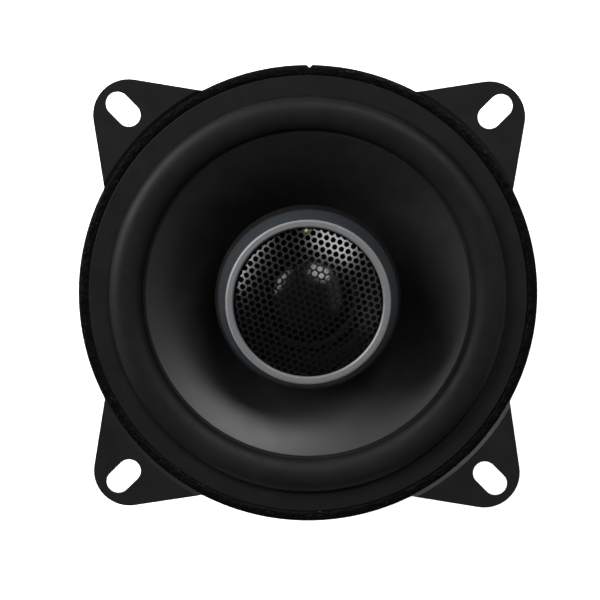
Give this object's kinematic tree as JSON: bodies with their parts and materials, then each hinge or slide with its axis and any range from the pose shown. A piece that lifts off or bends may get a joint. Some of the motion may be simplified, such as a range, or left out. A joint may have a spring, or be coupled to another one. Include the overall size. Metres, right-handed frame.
{
  "type": "coaxial car speaker",
  "caption": "Round coaxial car speaker: a woofer cone in a steel basket with slotted ears, and a domed tweeter pod on a post through the pole.",
  "frame": {"origin": "on the speaker's axis, in the plane of the mounting rim's rear face", "axes": "+Z along the axis towards the front; X and Y each run through two opposite mounting slots; the terminals are halfway between -X and -Y"},
  "size_m": [0.1298, 0.1298, 0.0625],
  "materials": {
    "basket_paint": "satin black paint on pressed steel",
    "rim_adhesive": "glossy, ragged black adhesive",
    "rivet_steel": "plain zinc",
    "surround_rubber": "matte",
    "spider_cloth": "resin-stiffened woven cloth",
    "cone_plastic": "satin moulded plastic",
    "amber_adhesive": "cured amber adhesive",
    "former_film": "kraft-coloured film",
    "copper_wire": "enamelled copper winding",
    "plated_steel": "bright zinc plate",
    "ferrite": "ground ceramic ferrite",
    "post_plastic": "moulded, matte",
    "zinc_steel": "bright zinc plate",
    "phenolic_board": "laminated phenolic board",
    "tinned_brass": "bright tin over brass",
    "capacitor_sleeve": "shrunk blue sleeve",
    "hot_melt": "translucent hot-melt adhesive",
    "tinned_wire": "bright tinned wire",
    "tinsel_braid": "copper tinsel braided round a cotton core",
    "pod_plastic": "fine-textured moulding",
    "bezel_paint": "satin silver-grey paint",
    "mesh_paint": "satin black paint on perforated steel",
    "faceplate_plastic": "moulded, matte",
    "tweeter_film": "doped cloth",
    "dome_cloth": "doped cloth, slight gloss",
    "nickel_magnet": "nickel plate",
    "red_insulation": "soft PVC",
    "black_insulation": "soft PVC"
  },
  "bodies": {
    "frame": {"basket": "basket_paint", "rim_glue_bead": "rim_adhesive", "basket_rivets": "rivet_steel", "surround": "surround_rubber", "spider": "spider_cloth", "top_plate": "plated_steel", "magnet": "ferrite", "yoke": "plated_steel", "tweeter_post": "post_plastic", "post_washer": "zinc_steel", "post_nut": "zinc_steel", "terminal_board": "phenolic_board", "board_rivets": "rivet_steel", "terminal_positive": "tinned_brass", "terminal_negative": "tinned_brass", "terminal_eyelets": "rivet_steel", "crossover_capacitor": "capacitor_sleeve", "capacitor_adhesive": "hot_melt", "capacitor_lead": "tinned_wire", "tinsel_lead_positive": "tinsel_braid", "tinsel_lead_negative": "tinsel_braid", "pod_housing": "pod_plastic", "bezel_ring": "bezel_paint", "mesh_grille": "mesh_paint", "tweeter_faceplate": "faceplate_plastic", "tweeter_suspension": "tweeter_film", "tweeter_yoke_cup": "plated_steel", "tweeter_magnet": "nickel_magnet", "tweeter_top_plate": "plated_steel", "tweeter_lead_red": "red_insulation", "tweeter_lead_black": "black_insulation"},
    "cone": {"cone": "cone_plastic", "neck_glue": "amber_adhesive", "voice_coil_former": "former_film", "voice_coil": "copper_wire"},
    "tweeter_diaphragm": {"tweeter_dome": "dome_cloth", "tweeter_coil_former": "former_film", "tweeter_coil": "copper_wire"}
  },
  "joints": [
    {"name": "woofer_excursion", "type": "slide", "parent": "frame", "child": "cone", "axis": [0, 0, 1], "range_m": [-0.0035, 0.0035], "stiffness_N_per_m": 1500, "deforming": ["surround", "spider", "tinsel_lead_positive", "tinsel_lead_negative"]},
    {"name": "tweeter_excursion", "type": "slide", "parent": "frame", "child": "tweeter_diaphragm", "axis": [0, 0, 1], "range_m": [-0.00025, 0.00025], "stiffness_N_per_m": 600, "deforming": ["tweeter_suspension"]}
  ]
}
